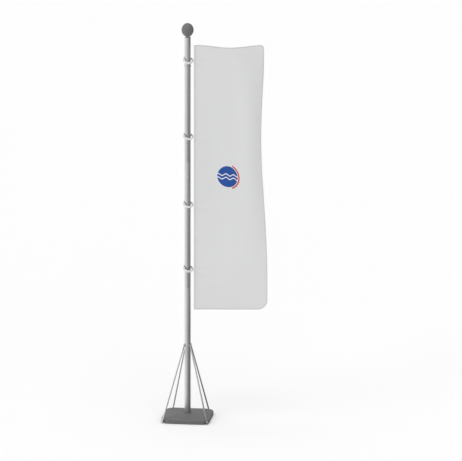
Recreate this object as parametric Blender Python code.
"""Free-standing banner pole: weighted base, braced mast in three sections, ball finial, ring-hung banner.

Metres, +Z up. The origin is on the mast's axis at floor level. -Y is the front.
"""

import math

import bmesh
import bpy
from mathutils import Matrix, Vector

# Driving dimensions: gaps and finishes
GAP = 0.0003  # between faces that rest on each other
PLAY = 0.0003  # radial, between a pin or spigot and its hole
MERGE = 0.000001
CHAMFER = 0.001  # on the rims of turned pieces
OVERSHOOT = 0.01  # of a cutter past what it cuts
SINK = 0.0002  # of a piece into the one that it is joined to
ROUND_STEPS = 24  # sides of a large round piece
SMALL_STEPS = 12  # sides of a small round piece
PIN_STEPS = 8  # sides of a pin

# Base
BASE_SIDE = 0.585
BASE_CORNER = 0.100
COVER_WALL = 0.003
COVER_RIM_CLEARANCE = 0.003  # skirt above the floor
COVER_EDGE_HEIGHT = 0.056
COVER_EDGE_ROUND = 0.006
COVER_DRAFT = 0.008  # lean of the side wall
COVER_BOSS_HEIGHT = 0.080
COVER_BOSS_WIDTH = 0.024  # flat ring around the pole's hole
COVER_BOSS_RUN = 0.012  # slope at the foot of the boss
COVER_BOSS_DROP = 0.003
COVER_HOLE_PLAY = 0.0015  # radial, around the mast
SLOT_CLEARANCE = 0.003  # around a lug in the cover's skirt
PAD_HEIGHT = 0.0077
PAD_RADIUS = 0.022
CENTRE_PAD_RADIUS = 0.032
PAD_INSET = 0.085  # corner pad's axis from the base's side
PAN_THICKNESS = 0.003
PAN_FIT = 0.0006  # between the pan's edge and the cover's skirt
SLAB_CORNER = 0.150
SLAB_INSET = 0.0225
SLAB_ROOF_GAP = 0.0025
FLANGE_RADIUS = 0.085
FLANGE_THICKNESS = 0.008
FLANGE_FIT = 0.001
BOLT_CIRCLE = 0.062
BOLT_RADIUS = 0.005
BOLT_HEAD_RADIUS = 0.009
BOLT_HEAD_HEIGHT = 0.006
BOLT_INSET = 0.0005  # bolt's end above the pan's underside

# Mast
MAST_FOOT_LIFT = 0.0025  # mast's foot above the cover's boss
MAST_RADIUS = 0.037
MAST_WALL = 0.0025
MAST_LOWER_LENGTH = 1.5775
MAST_MIDDLE_LENGTH = 1.590
MAST_UPPER_LENGTH = 1.5715
SPIGOT_HEIGHT = 0.300  # spigot above the foot of the mast
SPIGOT_LEAD = 0.002  # chamfer at the spigot's end
SHOULDER_EDGE = 0.004  # height of the socket's shoulder and of the taper under it
SLEEVE_WALL = 0.003
SLEEVE_HALF = 0.150  # a joint sleeve's reach into each section
SLIP = 0.0006  # radial, between a tube and the sleeve inside it

# Finial
CAP_PLUG_LENGTH = 0.030
CAP_RIM = 0.004
STUD_RADIUS = 0.006
STUD_COLLAR_RADIUS = 0.012
STUD_COLLAR_HEIGHT = 0.003
STUD_SHORT = 0.004  # stud's end above the plug's
STUD_IN_BALL = 0.020
BALL_WIDTH = 0.149
BALL_HEIGHT = 0.170
BALL_WALL = 0.003

# Braces
BRACE_PIN_HEIGHT = 0.935
BRACE_RADIUS = 0.009
BRACE_WALL = 0.0015
BRACE_HEAD_THICKNESS = 0.008
BRACE_PIN_RADIUS = 0.0039
BRACE_SOLID_END = 0.060  # solid top of the tube, from the pin
BRACE_SHOULDER = 0.029  # start of the round tube, from the pin
BRACE_TAPER = 0.006
EYE_CLEARANCE = 0.0005  # between the eye and the collar
EYE_TAIL = 0.008  # from the end of the eye's tab to the end of the solid top
PIN_HEAD = 0.002
COLLAR_WALL = 0.0052
COLLAR_HALF_HEIGHT = 0.016
EAR_THICKNESS = 0.004
KNOB_RADIUS = 0.014
KNOB_LENGTH = 0.012
KNOB_SCREW_RADIUS = 0.004
KNOB_STANDOFF = 0.010
LUG_THICKNESS = 0.003
LUG_HALF_WIDTH = 0.017
LUG_LEG = 0.040
LUG_BEYOND = 0.018  # tab past the brace's axis
LUG_CORNER_CLEARANCE = 0.0035  # brace to the cover's corner
LUG_BEND_INSET = 0.008  # bend inside the skirt's corner
NECK_RADIUS = 0.005
NECK_PLAY = 0.0006
NUT_RADIUS = 0.013
NUT_HEIGHT = 0.010
NUT_TRAVEL = 0.012  # free neck above the nut
NUT_TAPER = 0.003
BUTTON_RADIUS = 0.009
BUTTON_HEIGHT = 0.004
FOOT_SHANK = 0.030
FOOT_SHOULDER = 0.004
FOOT_TAPER = 0.003

# Banner
BANNER_TURN = math.radians(7.5)  # the banner's plane about the mast, from +X
BANNER_TOP_GAP = 0.0985  # top edge below the top of the mast
BANNER_DROP = 3.347
BANNER_WIDTH = 0.900
BANNER_THICKNESS = 0.0025
TAPE_WIDTH = 0.030
FLAT_STRIP = 0.045  # beside the hoist, before the cloth starts to wave
TOP_CORNER = 0.035
LOW_CORNER = 0.120
BELLY = 0.125
WAVE = 0.078
WAVE_END = 0.90  # share of the drop at which the wave has died out
WAVE_RISE = 0.80
WAVE_SKEW = 1.3

# Rings
RING_SHARES = (0.0565, 0.3442, 0.6011, 0.8446)  # ring centres along the hoist, from the top
RING_PLAY = 0.020  # radial, around the mast
RING_WALL = 0.004
RING_HEIGHT = 0.030
RING_ROLL = math.radians(20.0)  # front side lower
RING_TILT = math.radians(13.0)  # banner side lower
BARREL_RADIUS = 0.0045
BARREL_LENGTH = 0.012
RING_PIN_RADIUS = 0.0016
RING_PIN_HEAD = 0.001  # height of the head, and what it adds to the radius
HINGE_STANDOFF = 0.0125  # hinge beyond the ring's bore
CLIP_CHEEK = 0.0025
CLIP_JAW = 0.0022
CLIP_GRIP = 0.020
CLIP_HEIGHT = 0.022
HINGE_TO_HOIST = 0.0060
BAND_WALL = 0.004
BAND_HEIGHT = 0.020
BAND_DROP = 0.072  # band's middle below the top ring's centre

# Heights and places that follow
PAN_LOW = PAD_HEIGHT + GAP
PAN_TOP = PAN_LOW + PAN_THICKNESS
DECK = PAN_TOP + GAP
MAST_FOOT = COVER_BOSS_HEIGHT + MAST_FOOT_LIFT
MAST_LOWER_TOP = MAST_FOOT + MAST_LOWER_LENGTH
MAST_MIDDLE_LOW = MAST_LOWER_TOP + GAP
MAST_MIDDLE_TOP = MAST_MIDDLE_LOW + MAST_MIDDLE_LENGTH
MAST_UPPER_LOW = MAST_MIDDLE_TOP + GAP
MAST_TOP = MAST_UPPER_LOW + MAST_UPPER_LENGTH
MAST_BORE = MAST_RADIUS - MAST_WALL
SLEEVE_RADIUS = MAST_BORE - SLIP
BALL_LOW = MAST_TOP + GAP + CAP_RIM + GAP + STUD_COLLAR_HEIGHT + GAP
BALL_CENTRE = BALL_LOW + BALL_HEIGHT / 2

COLLAR_BORE = MAST_RADIUS + GAP
COLLAR_RADIUS = COLLAR_BORE + COLLAR_WALL
BRACE_PIN_AT = COLLAR_RADIUS + BRACE_RADIUS + EYE_CLEARANCE
EAR_INNER = BRACE_HEAD_THICKNESS / 2 + GAP
EAR_OUTER = EAR_INNER + EAR_THICKNESS
BACK_BRACE = 55.0  # degrees from the banner's side, a little behind the corner
CORNERS = {
    "front_left": 225.0,
    "front_right": 315.0,
    "back_right": BACK_BRACE,
    "back_left": 180.0 - BACK_BRACE,
}

BANNER_TOP = MAST_TOP - BANNER_TOP_GAP
RING_BORE = MAST_RADIUS + RING_PLAY
RING_RADIUS = RING_BORE + RING_WALL
HINGE_REACH = RING_RADIUS + BARREL_RADIUS  # ring centre to hinge
HINGE_AT = RING_BORE + HINGE_STANDOFF
HOIST_AT = HINGE_AT + HINGE_TO_HOIST


def corner_reach(half, corner):
    """Distance from the middle of a rounded square to its corner."""
    return (half - corner) * math.sqrt(2.0) + corner


# The brace leans so that it clears the cover's corner where the side wall ends.
COVER_CORNER = corner_reach(BASE_SIDE / 2 - COVER_DRAFT, BASE_CORNER - COVER_DRAFT)
BRACE_AT_EDGE = COVER_CORNER + LUG_CORNER_CLEARANCE + BRACE_RADIUS
BRACE_LEAN = math.atan2(BRACE_AT_EDGE - BRACE_PIN_AT, BRACE_PIN_HEIGHT - COVER_EDGE_HEIGHT)
LUG_BEND_AT = corner_reach(BASE_SIDE / 2 - COVER_WALL, BASE_CORNER - COVER_WALL) - LUG_BEND_INSET


def lug_crossing():
    """Radius and height at which the brace's axis crosses the middle of the lug's tab."""
    slope = math.tan(BRACE_LEAN)
    leg_height = DECK + LUG_THICKNESS / 2
    reach = BRACE_PIN_AT + (BRACE_PIN_HEIGHT - leg_height) * slope
    rise = (reach - LUG_BEND_AT) * slope / (1.0 + slope * slope)
    return reach - rise * slope, leg_height + rise


LUG_AT, LUG_HEIGHT = lug_crossing()
BRACE_LENGTH = (BRACE_PIN_HEIGHT - LUG_HEIGHT) / math.cos(BRACE_LEAN)  # pin to tab
NUT_TOP = BRACE_LENGTH - LUG_THICKNESS / 2 - GAP - NUT_HEIGHT
BRACE_END = NUT_TOP - NUT_TRAVEL


def clear_scene():
    for thing in list(bpy.data.objects):
        bpy.data.objects.remove(thing, do_unlink=True)


def make_material(name, colour, roughness, metallic=0.0):
    material = bpy.data.materials.new(name)
    material.use_nodes = True
    shader = material.node_tree.nodes["Principled BSDF"]
    shader.inputs["Base Color"].default_value = (*colour, 1.0)
    shader.inputs["Roughness"].default_value = roughness
    shader.inputs["Metallic"].default_value = metallic
    return material


def add_object(name, mesh, material=None, parent=None, matrix=None):
    thing = bpy.data.objects.new(name, mesh)
    bpy.context.scene.collection.objects.link(thing)
    if parent is not None:
        thing.parent = parent
    if matrix is not None:
        thing.matrix_local = matrix
    if material is not None:
        mesh.materials.clear()
        mesh.materials.append(material)
    return thing


def finish_mesh(bm, name):
    mesh = bpy.data.meshes.new(name)
    bm.to_mesh(mesh)
    bm.free()
    mesh.shade_smooth()
    mesh.set_sharp_from_angle(angle=math.radians(35.0))
    return mesh


def add_empty(name, parent=None, matrix=None):
    empty = bpy.data.objects.new(name, None)
    bpy.context.scene.collection.objects.link(empty)
    empty.parent = parent
    if matrix is not None:
        empty.matrix_local = matrix
    return empty


def lathe(outline, steps, closed=True):
    """A body turned about Z from (radius, height) pairs. An outline that ends on the axis isn't closed."""
    bm = bmesh.new()
    verts = [bm.verts.new((radius, 0.0, height)) for radius, height in outline]
    pairs = list(zip(verts, verts[1:]))
    if closed:
        pairs.append((verts[-1], verts[0]))
    edges = [bm.edges.new(pair) for pair in pairs]
    bmesh.ops.spin(
        bm,
        geom=verts + edges,
        cent=(0.0, 0.0, 0.0),
        axis=(0.0, 0.0, 1.0),
        angle=math.tau,
        steps=steps,
        use_merge=True,
    )
    bmesh.ops.remove_doubles(bm, verts=bm.verts, dist=MERGE)
    bmesh.ops.recalc_face_normals(bm, faces=bm.faces)
    return bm


def prism(outline, low, high):
    """An upright prism over (x, y) pairs."""
    bm = bmesh.new()
    face = bm.faces.new([bm.verts.new((x, y, low)) for x, y in outline])
    grown = bmesh.ops.extrude_face_region(bm, geom=[face])
    top = [item for item in grown["geom"] if isinstance(item, bmesh.types.BMVert)]
    bmesh.ops.translate(bm, verts=top, vec=(0.0, 0.0, high - low))
    bmesh.ops.recalc_face_normals(bm, faces=bm.faces)
    return bm


def cuboid(low, high):
    size = [b - a for a, b in zip(low, high)]
    middle = [(a + b) / 2 for a, b in zip(low, high)]
    bm = bmesh.new()
    bmesh.ops.create_cube(bm, size=1.0)
    bmesh.ops.scale(bm, vec=size, verts=bm.verts)
    bmesh.ops.translate(bm, vec=middle, verts=bm.verts)
    return bm


def rod(radius, start, end, steps=SMALL_STEPS):
    """A solid cylinder between two points."""
    along = Vector(end) - Vector(start)
    bm = bmesh.new()
    bmesh.ops.create_cone(
        bm, cap_ends=True, segments=steps, radius1=radius, radius2=radius, depth=along.length
    )
    turn = Vector((0.0, 0.0, 1.0)).rotation_difference(along).to_matrix().to_4x4()
    middle = (Vector(start) + Vector(end)) / 2
    bmesh.ops.transform(bm, matrix=Matrix.Translation(middle) @ turn, verts=bm.verts)
    return bm


def joined(pieces):
    """Several bmeshes as one mesh of separate bodies."""
    whole = bmesh.new()
    for piece in pieces:
        part = bpy.data.meshes.new("part")
        piece.to_mesh(part)
        piece.free()
        whole.from_mesh(part)
        bpy.data.meshes.remove(part)
    return whole


def turned(bm, matrix):
    bmesh.ops.transform(bm, matrix=matrix, verts=bm.verts)
    return bm


def add_cut(target, bm, operation="DIFFERENCE"):
    """Puts a Boolean on target with a guide made from bm, in target's own coordinates."""
    guide = add_object(target.name + "_guide", finish_mesh(bm, target.name + "_guide"))
    guide.matrix_world = target.matrix_world
    guide.hide_render = True
    guide.display_type = "WIRE"
    cut = target.modifiers.new(operation.title(), "BOOLEAN")
    cut.operation = operation
    cut.solver = "EXACT"
    cut.object = guide


def baked(bm, cuts, name):
    """The mesh that bm becomes after a list of (operation, bmesh) Booleans, to be shared by copies."""
    blank = add_object(name, finish_mesh(bm, name))
    for operation, tool in cuts:
        add_cut(blank, tool, operation)
    bpy.context.view_layer.update()
    seen = blank.evaluated_get(bpy.context.evaluated_depsgraph_get())
    mesh = bpy.data.meshes.new_from_object(seen)
    mesh.name = name
    for modifier in list(blank.modifiers):
        bpy.data.objects.remove(modifier.object, do_unlink=True)
    bpy.data.objects.remove(blank, do_unlink=True)
    return mesh


def rounded_square(half, corner, height, per_corner=6):
    """Points round a rounded square, anticlockwise from the middle of the right side's top."""
    points = []
    for quarter in range(4):
        middle = Vector((half - corner, half - corner)) @ Matrix.Rotation(-quarter * math.pi / 2, 2)
        for step in range(per_corner):
            angle = quarter * math.pi / 2 + step / (per_corner - 1) * math.pi / 2
            offset = corner * Vector((math.cos(angle), math.sin(angle)))
            points.append(Vector((*(middle + offset), height)))
    return points


def round_ring(radius, height, per_corner=6):
    """As many points as rounded_square gives, evenly round a circle and lined up with them."""
    count = 4 * per_corner
    first = math.pi / 4 - (per_corner - 1) / 2 * math.tau / count
    angles = [first + k * math.tau / count for k in range(count)]
    return [Vector((radius * math.cos(a), radius * math.sin(a), height)) for a in angles]


def loft(rings, hollow):
    """Skin over rings with the same number of points. A hollow loft joins the last ring to the first."""
    bm = bmesh.new()
    rows = [[bm.verts.new(point) for point in ring] for ring in rings]
    pairs = list(zip(rows, rows[1:]))
    if hollow:
        pairs.append((rows[-1], rows[0]))
    else:
        bm.faces.new(rows[0])
        bm.faces.new(rows[-1])
    for lower, upper in pairs:
        for k in range(len(lower)):
            following = (k + 1) % len(lower)
            bm.faces.new((lower[k], lower[following], upper[following], upper[k]))
    bmesh.ops.recalc_face_normals(bm, faces=bm.faces)
    return bm


# --- Base -------------------------------------------------------------------


def cover_rings(inset):
    """The cover's skin from its skirt to the pole's hole, moved inwards by inset."""
    half = BASE_SIDE / 2 - inset
    corner = BASE_CORNER - inset
    top = COVER_EDGE_HEIGHT - inset
    boss = COVER_BOSS_HEIGHT - inset
    hole = MAST_RADIUS + COVER_HOLE_PLAY
    draft = COVER_DRAFT
    edge = COVER_EDGE_ROUND
    shoulder = 0.4 * edge
    return [
        rounded_square(half, corner, COVER_RIM_CLEARANCE),
        rounded_square(half - draft, corner - draft, top - edge),
        rounded_square(half - draft - shoulder, corner - draft - shoulder, top - shoulder),
        rounded_square(half - draft - edge, corner - draft - edge, top),
        round_ring(hole + COVER_BOSS_WIDTH + COVER_BOSS_RUN, boss - COVER_BOSS_DROP),
        round_ring(hole + COVER_BOSS_WIDTH, boss),
        round_ring(hole, boss),
    ]


def add_base(paint):
    plastic, steel, concrete, zinc, rubber = paint
    cover = add_object(
        "base_cover",
        finish_mesh(loft(cover_rings(0.0) + cover_rings(COVER_WALL)[::-1], True), "base_cover"),
        plastic,
    )
    slot = LUG_HALF_WIDTH + SLOT_CLEARANCE
    inner = BASE_SIDE / 2 - PAD_INSET
    for turn in CORNERS.values():
        channel = cuboid((inner, -slot, -OVERSHOOT), (BASE_SIDE, slot, LUG_HEIGHT + SLOT_CLEARANCE))
        add_cut(cover, turned(channel, Matrix.Rotation(math.radians(turn), 4, "Z")))

    skirt_height = COVER_EDGE_HEIGHT - COVER_WALL - COVER_EDGE_ROUND - COVER_RIM_CLEARANCE
    skirt_lean = COVER_DRAFT * (PAN_TOP - COVER_RIM_CLEARANCE) / skirt_height
    pan_inset = COVER_WALL + skirt_lean + PAN_FIT
    pan_half = BASE_SIDE / 2 - pan_inset
    pan_rings = [rounded_square(pan_half, BASE_CORNER - pan_inset, z) for z in (PAN_LOW, PAN_TOP)]
    pan = add_object("base_pan", finish_mesh(loft(pan_rings, False), "base_pan"), steel)

    slab_half = BASE_SIDE / 2 - SLAB_INSET
    slab_top = COVER_EDGE_HEIGHT - COVER_WALL - SLAB_ROOF_GAP
    slab_rings = [rounded_square(slab_half, SLAB_CORNER, z) for z in (DECK, slab_top)]
    slab = add_object("ballast_slab", finish_mesh(loft(slab_rings, False), "ballast_slab"), concrete)
    well_ends = [(0, 0, DECK - OVERSHOOT), (0, 0, slab_top + OVERSHOOT)]
    add_cut(slab, rod(FLANGE_RADIUS + FLANGE_FIT, *well_ends, ROUND_STEPS))

    flange_top = DECK + FLANGE_THICKNESS
    shoulder = MAST_FOOT - GAP
    spigot_top = MAST_FOOT + SPIGOT_HEIGHT
    spigot_bore = SLEEVE_RADIUS - SLEEVE_WALL
    socket = add_object(
        "pole_socket",
        finish_mesh(
            lathe(
                [
                    (0.0, DECK),
                    (FLANGE_RADIUS, DECK),
                    (FLANGE_RADIUS, flange_top),
                    (SLEEVE_RADIUS, flange_top),
                    (SLEEVE_RADIUS, shoulder - 2 * SHOULDER_EDGE),
                    (MAST_RADIUS, shoulder - SHOULDER_EDGE),
                    (MAST_RADIUS, shoulder),
                    (SLEEVE_RADIUS, shoulder),
                    (SLEEVE_RADIUS, spigot_top - SPIGOT_LEAD),
                    (SLEEVE_RADIUS - SPIGOT_LEAD, spigot_top),
                    (spigot_bore, spigot_top),
                    (spigot_bore, flange_top),
                    (0.0, flange_top),
                ],
                ROUND_STEPS,
                closed=False,
            ),
            "pole_socket",
        ),
        steel,
    )

    first = Vector((BOLT_CIRCLE, 0.0, 0.0))
    places = [Matrix.Rotation(math.radians(turn), 4, "Z") @ first for turn in (45.0, 135.0, 225.0, 315.0)]
    for target in (pan, socket):
        drills = [rod(BOLT_RADIUS + PLAY, (x, y, 0.0), (x, y, flange_top + OVERSHOOT)) for x, y, _ in places]
        add_cut(target, joined(drills))
    hexagon = BOLT_HEAD_RADIUS * math.cos(math.pi / 6)
    bolt_mesh = finish_mesh(bolt_body(hexagon, flange_top + GAP), "socket_bolt")
    for k, place in enumerate(places):
        add_object(f"socket_bolt_{k + 1}", bolt_mesh, zinc, matrix=Matrix.Translation(place))

    pad_place = BASE_SIDE / 2 - PAD_INSET
    pad_mesh = finish_mesh(pad_body(PAD_RADIUS), "foot_pad")
    for name, degrees in CORNERS.items():
        angle = math.radians(degrees)
        x = math.copysign(pad_place, math.cos(angle))
        y = math.copysign(pad_place, math.sin(angle))
        add_object(f"foot_pad_{name}", pad_mesh, rubber, matrix=Matrix.Translation((x, y, 0.0)))
    add_object("foot_pad_centre", finish_mesh(pad_body(CENTRE_PAD_RADIUS), "foot_pad_centre"), rubber)

    lug_mesh = finish_mesh(lug_body(), "brace_lug")
    for name, degrees in CORNERS.items():
        turn = Matrix.Rotation(math.radians(degrees), 4, "Z")
        add_object(f"brace_lug_{name}", lug_mesh, steel, matrix=turn)


def bolt_body(flat, seat):
    """Hexagon head on a plain shank, head up, seated at height seat."""
    levels = (
        (seat + BOLT_HEAD_HEIGHT, BOLT_HEAD_RADIUS, flat),
        (seat, BOLT_HEAD_RADIUS, flat),
        (seat, BOLT_RADIUS, BOLT_RADIUS),
        (PAN_LOW + BOLT_INSET, BOLT_RADIUS, BOLT_RADIUS),
    )
    rings = []
    for height, point, side in levels:
        ring = []
        for k in range(12):
            reach = side if k % 2 else point
            angle = k * math.pi / 6
            ring.append(Vector((reach * math.cos(angle), reach * math.sin(angle), height)))
        rings.append(ring)
    return loft(rings, False)


def pad_body(radius):
    return lathe(
        [(0.0, 0.0), (radius - CHAMFER, 0.0), (radius, CHAMFER), (radius, PAD_HEIGHT), (0.0, PAD_HEIGHT)],
        SMALL_STEPS,
        closed=False,
    )


def lug_body():
    """A bent plate in a brace's plane: a leg on the pan, and a tab with an open slot, square to the brace."""
    middle = DECK + LUG_THICKNESS / 2
    rise = Vector((math.cos(BRACE_LEAN), 0.0, math.sin(BRACE_LEAN)))
    across = Vector((0.0, 1.0, 0.0))
    bend = Vector((LUG_BEND_AT, 0.0, middle))
    seat = (Vector((LUG_AT, 0.0, LUG_HEIGHT)) - bend).length
    slot = NECK_RADIUS + NECK_PLAY
    side = LUG_HALF_WIDTH
    bm = bmesh.new()
    leg = [(-LUG_LEG, -side), (-LUG_LEG, side)]
    tab = [(seat + LUG_BEYOND, side), (seat + LUG_BEYOND, slot)]
    for step in range(9):
        angle = math.pi / 2 + step * math.pi / 8
        tab.append((seat + slot * math.cos(angle), slot * math.sin(angle)))
    tab += [(seat + LUG_BEYOND, -slot), (seat + LUG_BEYOND, -side)]
    near = bm.verts.new(bend - side * across)
    far = bm.verts.new(bend + side * across)
    outer = [bm.verts.new(bend + along * Vector((1, 0, 0)) + out * across) for along, out in leg]
    bm.faces.new([near, outer[0], outer[1], far])
    raised = [bm.verts.new(bend + along * rise + out * across) for along, out in tab]
    bm.faces.new([near, far] + raised)
    bmesh.ops.recalc_face_normals(bm, faces=bm.faces)
    if bm.faces[:][0].normal.z < 0.0:
        bmesh.ops.reverse_faces(bm, faces=bm.faces)
    bmesh.ops.translate(bm, verts=bm.verts, vec=(0.0, 0.0, -LUG_THICKNESS / 2))
    bmesh.ops.solidify(bm, geom=bm.faces, thickness=-LUG_THICKNESS)
    bmesh.ops.recalc_face_normals(bm, faces=bm.faces)
    return bm


# --- Mast and finial ----------------------------------------------------------


def tube_body(radius, bore, low, high):
    return lathe([(radius, low), (radius, high), (bore, high), (bore, low)], ROUND_STEPS)


def add_mast(metal, sleeve_metal):
    sections = {
        "mast_lower": (MAST_FOOT, MAST_LOWER_TOP),
        "mast_middle": (MAST_MIDDLE_LOW, MAST_MIDDLE_TOP),
        "mast_upper": (MAST_UPPER_LOW, MAST_TOP),
    }
    for name, (low, high) in sections.items():
        add_object(name, finish_mesh(tube_body(MAST_RADIUS, MAST_BORE, low, high), name), metal)
    sleeves = {"joint_sleeve_lower": MAST_LOWER_TOP, "joint_sleeve_upper": MAST_MIDDLE_TOP}
    for name, joint in sleeves.items():
        body = tube_body(SLEEVE_RADIUS, SLEEVE_RADIUS - SLEEVE_WALL, joint - SLEEVE_HALF, joint + SLEEVE_HALF)
        add_object(name, finish_mesh(body, name), sleeve_metal)

    seat = MAST_TOP + GAP
    bore = STUD_RADIUS + PLAY
    plug = MAST_BORE - PLAY
    cap = lathe(
        [
            (bore, seat - CAP_PLUG_LENGTH),
            (plug, seat - CAP_PLUG_LENGTH),
            (plug, seat),
            (MAST_RADIUS, seat),
            (MAST_RADIUS, seat + CAP_RIM - CHAMFER),
            (MAST_RADIUS - CHAMFER, seat + CAP_RIM),
            (bore, seat + CAP_RIM),
        ],
        ROUND_STEPS,
    )
    add_object("top_cap", finish_mesh(cap, "top_cap"), metal)


def add_finial(plastic, zinc):
    holder = add_empty("finial_axis", matrix=Matrix.Translation((0.0, 0.0, BALL_CENTRE)))
    half = BALL_HEIGHT / 2
    low = -half
    collar_low = low - GAP - STUD_COLLAR_HEIGHT
    stud_low = collar_low - CAP_RIM - CAP_PLUG_LENGTH + STUD_SHORT
    stud = lathe(
        [
            (0.0, stud_low),
            (STUD_RADIUS, stud_low),
            (STUD_RADIUS, collar_low),
            (STUD_COLLAR_RADIUS, collar_low),
            (STUD_COLLAR_RADIUS, collar_low + STUD_COLLAR_HEIGHT),
            (STUD_RADIUS, collar_low + STUD_COLLAR_HEIGHT),
            (STUD_RADIUS, low + STUD_IN_BALL),
            (0.0, low + STUD_IN_BALL),
        ],
        SMALL_STEPS,
        closed=False,
    )
    add_object("finial_stud", finish_mesh(stud, "finial_stud"), zinc, parent=holder)

    neck = STUD_RADIUS + PLAY
    outside = ball_arc(BALL_WIDTH / 2, half, neck)
    inside = ball_arc(BALL_WIDTH / 2 - BALL_WALL, half - BALL_WALL, neck)
    ball = lathe(outside + inside[::-1], ROUND_STEPS, closed=False)
    add_object("finial_ball", finish_mesh(ball, "finial_ball"), plastic, parent=holder)


def ball_arc(wide, tall, neck, steps=9):
    """Half outline of an egg from its pole at the top down to the neck's hole."""
    last = math.acos(-math.sqrt(1.0 - (neck / wide) ** 2))
    return [(wide * math.sin(last * k / steps), tall * math.cos(last * k / steps)) for k in range(steps + 1)]


# --- Braces -------------------------------------------------------------------


def ear_outline(length, radius, steps=8):
    """A tab round its end about the origin, reaching length along -X."""
    arc = [-math.pi / 2 + k * math.pi / steps for k in range(steps + 1)]
    round_end = [(radius * math.cos(a), radius * math.sin(a)) for a in arc]
    return round_end + [(-length, radius), (-length, -radius)]


UPRIGHT = Matrix.Rotation(math.pi / 2, 4, "X")  # lays a prism's height along -Y


def collar_cuts():
    ears = []
    drills = []
    past_ear = Vector((0.0, EAR_OUTER + OVERSHOOT, 0.0))
    for degrees in CORNERS.values():
        place = Matrix.Rotation(math.radians(degrees), 4, "Z") @ Matrix.Translation((BRACE_PIN_AT, 0.0, 0.0))
        length = BRACE_PIN_AT - COLLAR_BORE - COLLAR_WALL / 2
        for low, high in ((EAR_INNER, EAR_OUTER), (-EAR_OUTER, -EAR_INNER)):
            ear = prism(ear_outline(length, BRACE_RADIUS), low, high)
            ears.append(turned(ear, place @ UPRIGHT))
        drills.append(rod(BRACE_PIN_RADIUS + PLAY, place @ -past_ear, place @ past_ear))
    drill_start = (0.0, COLLAR_BORE - OVERSHOOT, 0.0)
    drill_end = (0.0, COLLAR_RADIUS + OVERSHOOT, 0.0)
    drills.append(rod(KNOB_SCREW_RADIUS + PLAY, drill_start, drill_end))
    return [("UNION", joined(ears)), ("DIFFERENCE", joined(drills))]


def add_collar(metal, zinc, plastic):
    height = Matrix.Translation((0.0, 0.0, BRACE_PIN_HEIGHT))
    band = lathe(
        [
            (COLLAR_BORE, -COLLAR_HALF_HEIGHT),
            (COLLAR_RADIUS, -COLLAR_HALF_HEIGHT),
            (COLLAR_RADIUS, COLLAR_HALF_HEIGHT),
            (COLLAR_BORE, COLLAR_HALF_HEIGHT),
        ],
        ROUND_STEPS,
    )
    add_object("brace_collar", baked(band, collar_cuts(), "brace_collar"), metal, matrix=height)
    head = EAR_OUTER + GAP
    pin_outline = [
        (0.0, -head - PIN_HEAD),
        (BRACE_PIN_RADIUS + PIN_HEAD, -head - PIN_HEAD),
        (BRACE_PIN_RADIUS + PIN_HEAD, -head),
        (BRACE_PIN_RADIUS, -head),
        (BRACE_PIN_RADIUS, head),
        (BRACE_PIN_RADIUS + PIN_HEAD, head),
        (BRACE_PIN_RADIUS + PIN_HEAD, head + PIN_HEAD),
        (0.0, head + PIN_HEAD),
    ]
    pin_mesh = finish_mesh(turned(lathe(pin_outline, PIN_STEPS, closed=False), UPRIGHT), "brace_pin")
    for name, degrees in CORNERS.items():
        facing = height @ Matrix.Rotation(math.radians(degrees), 4, "Z")
        place = facing @ Matrix.Translation((BRACE_PIN_AT, 0.0, 0.0))
        add_object(f"brace_pin_{name}", pin_mesh, zinc, matrix=place)

    start = COLLAR_RADIUS + KNOB_STANDOFF
    knob = lathe(
        [
            (0.0, MAST_RADIUS + 2 * GAP),
            (KNOB_SCREW_RADIUS, MAST_RADIUS + 2 * GAP),
            (KNOB_SCREW_RADIUS, start),
            (KNOB_RADIUS - 2 * CHAMFER, start),
            (KNOB_RADIUS, start + 2 * CHAMFER),
            (KNOB_RADIUS, start + KNOB_LENGTH - 2 * CHAMFER),
            (KNOB_RADIUS - 2 * CHAMFER, start + KNOB_LENGTH),
            (0.0, start + KNOB_LENGTH),
        ],
        SMALL_STEPS,
        closed=False,
    )
    backwards = Matrix.Rotation(-math.pi / 2, 4, "X")
    holder = add_empty("collar_knob_axis", matrix=height)
    add_object("collar_knob", finish_mesh(turned(knob, backwards), "collar_knob"), plastic, parent=holder)


def brace_mesh():
    """One brace along -Z from its pin: a tube bored from below, with a flat eye on its solid top."""
    bore = BRACE_RADIUS - BRACE_WALL
    tube = lathe(
        [
            (0.0, -BRACE_SHOULDER),
            (BRACE_RADIUS - BRACE_TAPER / 2, -BRACE_SHOULDER),
            (BRACE_RADIUS, -BRACE_SHOULDER - BRACE_TAPER),
            (BRACE_RADIUS, -BRACE_END),
            (bore, -BRACE_END),
            (bore, -BRACE_SOLID_END),
            (0.0, -BRACE_SOLID_END),
        ],
        SMALL_STEPS,
        closed=False,
    )
    half = BRACE_HEAD_THICKNESS / 2
    eye = prism(ear_outline(BRACE_SOLID_END - EYE_TAIL, BRACE_RADIUS - SINK), -half, half)
    upwards = Matrix.Rotation(-math.pi / 2, 4, "Y")  # takes the tab's -X to -Z
    pin_hole = rod(BRACE_PIN_RADIUS + PLAY, (0.0, -half - OVERSHOOT, 0.0), (0.0, half + OVERSHOOT, 0.0))
    eye = turned(turned(eye, UPRIGHT), upwards)
    return baked(tube, [("UNION", eye), ("DIFFERENCE", pin_hole)], "brace_tube")


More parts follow.
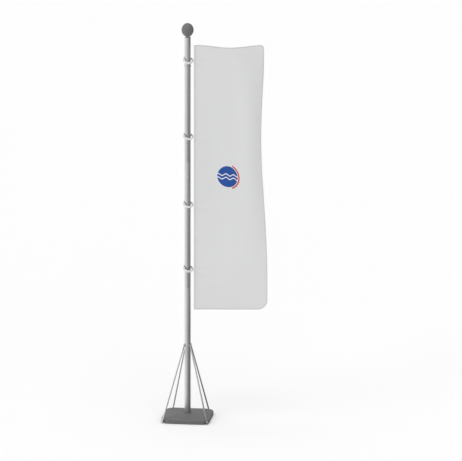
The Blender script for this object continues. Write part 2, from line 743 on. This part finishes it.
def foot_mesh():
    """Shank in the tube, shoulder, threaded neck through the lug's slot, and button under it."""
    bore = BRACE_RADIUS - BRACE_WALL - PLAY
    tab_low = BRACE_LENGTH + LUG_THICKNESS / 2 + GAP
    outline = [
        (0.0, -BRACE_END + FOOT_SHANK),
        (bore, -BRACE_END + FOOT_SHANK),
        (bore, -BRACE_END - GAP),
        (BRACE_RADIUS, -BRACE_END - GAP),
        (BRACE_RADIUS, -BRACE_END - FOOT_SHOULDER),
        (NECK_RADIUS, -BRACE_END - FOOT_SHOULDER - FOOT_TAPER),
        (NECK_RADIUS, -tab_low),
        (BUTTON_RADIUS, -tab_low),
        (BUTTON_RADIUS, -tab_low - BUTTON_HEIGHT + CHAMFER),
        (BUTTON_RADIUS - CHAMFER, -tab_low - BUTTON_HEIGHT),
        (0.0, -tab_low - BUTTON_HEIGHT),
    ]
    return finish_mesh(lathe(outline, SMALL_STEPS, closed=False), "brace_foot")


def nut_mesh():
    low = -NUT_TOP - NUT_HEIGHT
    bore = NECK_RADIUS + PLAY
    outline = [
        (bore, low),
        (NUT_RADIUS - CHAMFER, low),
        (NUT_RADIUS, low + CHAMFER),
        (NUT_RADIUS, low + NUT_HEIGHT - NUT_TAPER),
        (NUT_RADIUS - NUT_TAPER, low + NUT_HEIGHT),
        (bore, low + NUT_HEIGHT),
    ]
    return finish_mesh(lathe(outline, SMALL_STEPS), "hand_nut")


def add_braces(metal, zinc):
    tube = brace_mesh()
    foot = foot_mesh()
    nut = nut_mesh()
    for name, degrees in CORNERS.items():
        place = (
            Matrix.Rotation(math.radians(degrees), 4, "Z")
            @ Matrix.Translation((BRACE_PIN_AT, 0.0, BRACE_PIN_HEIGHT))
            @ Matrix.Rotation(-BRACE_LEAN, 4, "Y")
        )
        holder = add_empty(f"brace_axis_{name}", matrix=place)
        add_object(f"brace_tube_{name}", tube, metal, parent=holder)
        add_object(f"brace_foot_{name}", foot, zinc, parent=holder)
        add_object(f"hand_nut_{name}", nut, zinc, parent=holder)


# --- Banner and rings -----------------------------------------------------------


def swing(along, down):
    """How far the cloth stands from its plane, at a distance from the hoist and a share of the drop."""
    share = max(0.0, (along - FLAT_STRIP) / (BANNER_WIDTH - FLAT_STRIP))
    belly = BELLY * math.cos(down * math.pi / 2) ** 2
    wave = WAVE * math.sin(math.pi * min(down / WAVE_END, 1.0) ** WAVE_RISE)
    return -belly * math.sin(math.pi * share) ** 2 + wave * math.sin(math.tau * share**WAVE_SKEW)


def cloth_row(start, end, down, columns, steps=8):
    """Points (x, y) and side directions along one level of the cloth, with its length kept."""
    x = start
    row = []
    span = (end - start) / columns
    for column in range(columns + 1):
        along = start + column * span
        ahead = (swing(along + MERGE, down) - swing(along - MERGE, down)) / (2 * MERGE)
        forward = math.sqrt(1.0 - ahead * ahead)
        row.append((Vector((x, swing(along, down))), Vector((-ahead, forward))))
        for step in range(steps):
            a = along + span * step / steps
            b = along + span * (step + 1) / steps
            rise = swing(b, down) - swing(a, down)
            x += math.sqrt((b - a) ** 2 - rise**2)
    return row


def cloth_end(from_top):
    """Where the cut ends at this distance below the top edge, with its two fly corners rounded."""
    end = BANNER_WIDTH
    for radius, distance in ((TOP_CORNER, from_top), (LOW_CORNER, BANNER_DROP - from_top)):
        if distance < radius:
            end -= radius - math.sqrt(radius**2 - (radius - distance) ** 2)
    return end


def cloth_levels(rows=14, corner_steps=4):
    """Distances below the top edge, closer together where a corner is round."""
    quarter = [k * math.pi / 2 / corner_steps for k in range(corner_steps + 1)]
    levels = [TOP_CORNER * (1.0 - math.cos(angle)) for angle in quarter]
    plain = BANNER_DROP - TOP_CORNER - LOW_CORNER
    levels += [TOP_CORNER + plain * (k + 1) / rows for k in range(rows)]
    levels += [BANNER_DROP - LOW_CORNER * (1.0 - math.sin(angle)) for angle in quarter[1:]]
    return levels


def cloth_solid(levels, start, ends, columns):
    """A closed slab round the cloth's own surface."""
    bm = bmesh.new()
    half = BANNER_THICKNESS / 2
    sides = {-1: [], 1: []}
    for level, end in zip(levels, ends):
        row = cloth_row(start, end, level / BANNER_DROP, columns)
        for side, grid in sides.items():
            spots = [place + side * half * normal for place, normal in row]
            grid.append([bm.verts.new((HOIST_AT + x, y, BANNER_TOP - level)) for x, y in spots])
    front, back = sides[-1], sides[1]
    for grid in (front, back):
        for upper, lower in zip(grid, grid[1:]):
            for k in range(columns):
                bm.faces.new((upper[k], upper[k + 1], lower[k + 1], lower[k]))
    border_front = cloth_border(front)
    border_back = cloth_border(back)
    for k in range(len(border_front)):
        n = (k + 1) % len(border_front)
        bm.faces.new((border_front[k], border_front[n], border_back[n], border_back[k]))
    bmesh.ops.recalc_face_normals(bm, faces=bm.faces)
    return bm


def cloth_border(grid):
    right = [row[-1] for row in grid[1:]]
    left = [row[0] for row in grid[-2:0:-1]]
    return grid[0] + right + grid[-1][-2::-1] + left


def add_stop_band(metal):
    band_middle = BANNER_TOP - RING_SHARES[0] * BANNER_DROP - BAND_DROP
    band_low = band_middle - BAND_HEIGHT / 2
    band_bore = MAST_RADIUS + GAP
    band = tube_body(band_bore + BAND_WALL, band_bore, band_low, band_low + BAND_HEIGHT)
    add_object("stop_band", finish_mesh(band, "stop_band"), metal)


def add_banner(cloth, webbing, plastic, zinc):
    holder = add_empty("banner_axis", matrix=Matrix.Rotation(BANNER_TURN, 4, "Z"))
    levels = cloth_levels()
    ends = [cloth_end(level) for level in levels]
    sheet = cloth_solid(levels, TAPE_WIDTH + GAP, ends, 12)
    add_object("banner_cloth", finish_mesh(sheet, "banner_cloth"), cloth, parent=holder)
    tape = cuboid(
        (HOIST_AT, -BANNER_THICKNESS / 2, BANNER_TOP - BANNER_DROP),
        (HOIST_AT + TAPE_WIDTH, BANNER_THICKNESS / 2, BANNER_TOP),
    )
    add_object("heading_tape", finish_mesh(tape, "heading_tape"), webbing, parent=holder)

    ring = ring_mesh()
    clip = clip_mesh()
    pin = ring_pin_mesh()
    roll = Matrix.Rotation(RING_ROLL, 4, "X")
    for number, share in enumerate(RING_SHARES, 1):
        centre = BANNER_TOP - share * BANNER_DROP
        hinge = Matrix.Translation((HINGE_AT, 0.0, centre - HINGE_REACH * math.sin(RING_TILT)))
        add_object(f"ring_clip_{number}", clip, plastic, parent=holder, matrix=hinge)
        add_object(f"ring_pin_{number}", pin, zinc, parent=holder, matrix=hinge @ roll)
        tilt = Matrix.Rotation(RING_TILT, 4, "Y")
        add_object(f"banner_ring_{number}", ring, plastic, parent=holder, matrix=hinge @ roll @ tilt)


def ring_mesh():
    """A flat band round the mast with a small barrel on its banner side, hinge at the origin."""
    half = RING_HEIGHT / 2
    band = tube_body(RING_RADIUS, RING_BORE, -half, half)
    turned(band, Matrix.Translation((-HINGE_REACH, 0.0, 0.0)))
    side = BARREL_LENGTH / 2
    barrel = prism(ear_outline(BARREL_RADIUS + RING_WALL / 2, BARREL_RADIUS), -side, side)
    past = side + OVERSHOOT / 2
    bore = rod(RING_PIN_RADIUS + PLAY, (0.0, -past, 0.0), (0.0, past, 0.0), PIN_STEPS)
    return baked(band, [("UNION", turned(barrel, UPRIGHT)), ("DIFFERENCE", bore)], "banner_ring")


def clip_mesh():
    """Two cheeks round the ring's barrel, a bridge, and two jaws over the heading tape."""
    roll = Matrix.Rotation(RING_ROLL, 4, "X")
    inner = BARREL_LENGTH / 2 + GAP
    outer = inner + CLIP_CHEEK
    face = HINGE_TO_HOIST - GAP
    web = BARREL_RADIUS + GAP
    length = face - SINK
    cheeks = []
    for low, high in ((inner, outer), (-outer, -inner)):
        cheek = prism([(-x, -y) for x, y in ear_outline(length, BARREL_RADIUS)], low, high)
        cheeks.append(turned(cheek, roll @ UPRIGHT))
    half = CLIP_HEIGHT / 2
    wall = BANNER_THICKNESS / 2 + GAP
    bridge = cuboid((web, -outer, -half), (face, outer, half))
    jaws = [
        cuboid((face - 2 * SINK, low, -half), (face + CLIP_GRIP, high, half))
        for low, high in ((wall, wall + CLIP_JAW), (-wall - CLIP_JAW, -wall))
    ]
    past = outer + OVERSHOOT
    drill = rod(RING_PIN_RADIUS + PLAY, (0.0, -past, 0.0), (0.0, past, 0.0), PIN_STEPS)
    cuts = [("UNION", joined(cheeks + jaws)), ("DIFFERENCE", turned(drill, roll))]
    return baked(bridge, cuts, "ring_clip")


def ring_pin_mesh():
    seat = BARREL_LENGTH / 2 + GAP + CLIP_CHEEK + GAP
    end = seat + RING_PIN_HEAD
    head = RING_PIN_RADIUS + RING_PIN_HEAD
    outline = [
        (0.0, -end),
        (head, -end),
        (head, -seat),
        (RING_PIN_RADIUS, -seat),
        (RING_PIN_RADIUS, seat),
        (head, seat),
        (head, end),
        (0.0, end),
    ]
    return finish_mesh(turned(lathe(outline, PIN_STEPS, closed=False), UPRIGHT), "ring_pin")


def main():
    clear_scene()
    grey_plastic = make_material("grey_plastic", (0.160, 0.160, 0.160), 0.55)
    dark_steel = make_material("dark_steel", (0.120, 0.122, 0.125), 0.45, 0.6)
    concrete = make_material("concrete", (0.420, 0.410, 0.390), 0.90)
    zinc = make_material("zinc_steel", (0.560, 0.570, 0.580), 0.35, 1.0)
    rubber = make_material("black_rubber", (0.030, 0.030, 0.030), 0.80)
    mast_metal = make_material("mast_aluminium", (0.560, 0.560, 0.545), 0.38, 0.8)
    sleeve_metal = make_material("sleeve_aluminium", (0.480, 0.480, 0.480), 0.50, 1.0)
    ring_plastic = make_material("pale_plastic", (0.780, 0.780, 0.780), 0.40)
    cloth = make_material("banner_cloth", (0.680, 0.680, 0.690), 0.85)
    webbing = make_material("heading_webbing", (0.800, 0.800, 0.800), 0.90)

    add_base((grey_plastic, dark_steel, concrete, zinc, rubber))
    add_mast(mast_metal, sleeve_metal)
    add_finial(grey_plastic, zinc)
    add_collar(mast_metal, zinc, grey_plastic)
    add_braces(mast_metal, zinc)
    add_stop_band(mast_metal)
    add_banner(cloth, webbing, ring_plastic, zinc)


main()
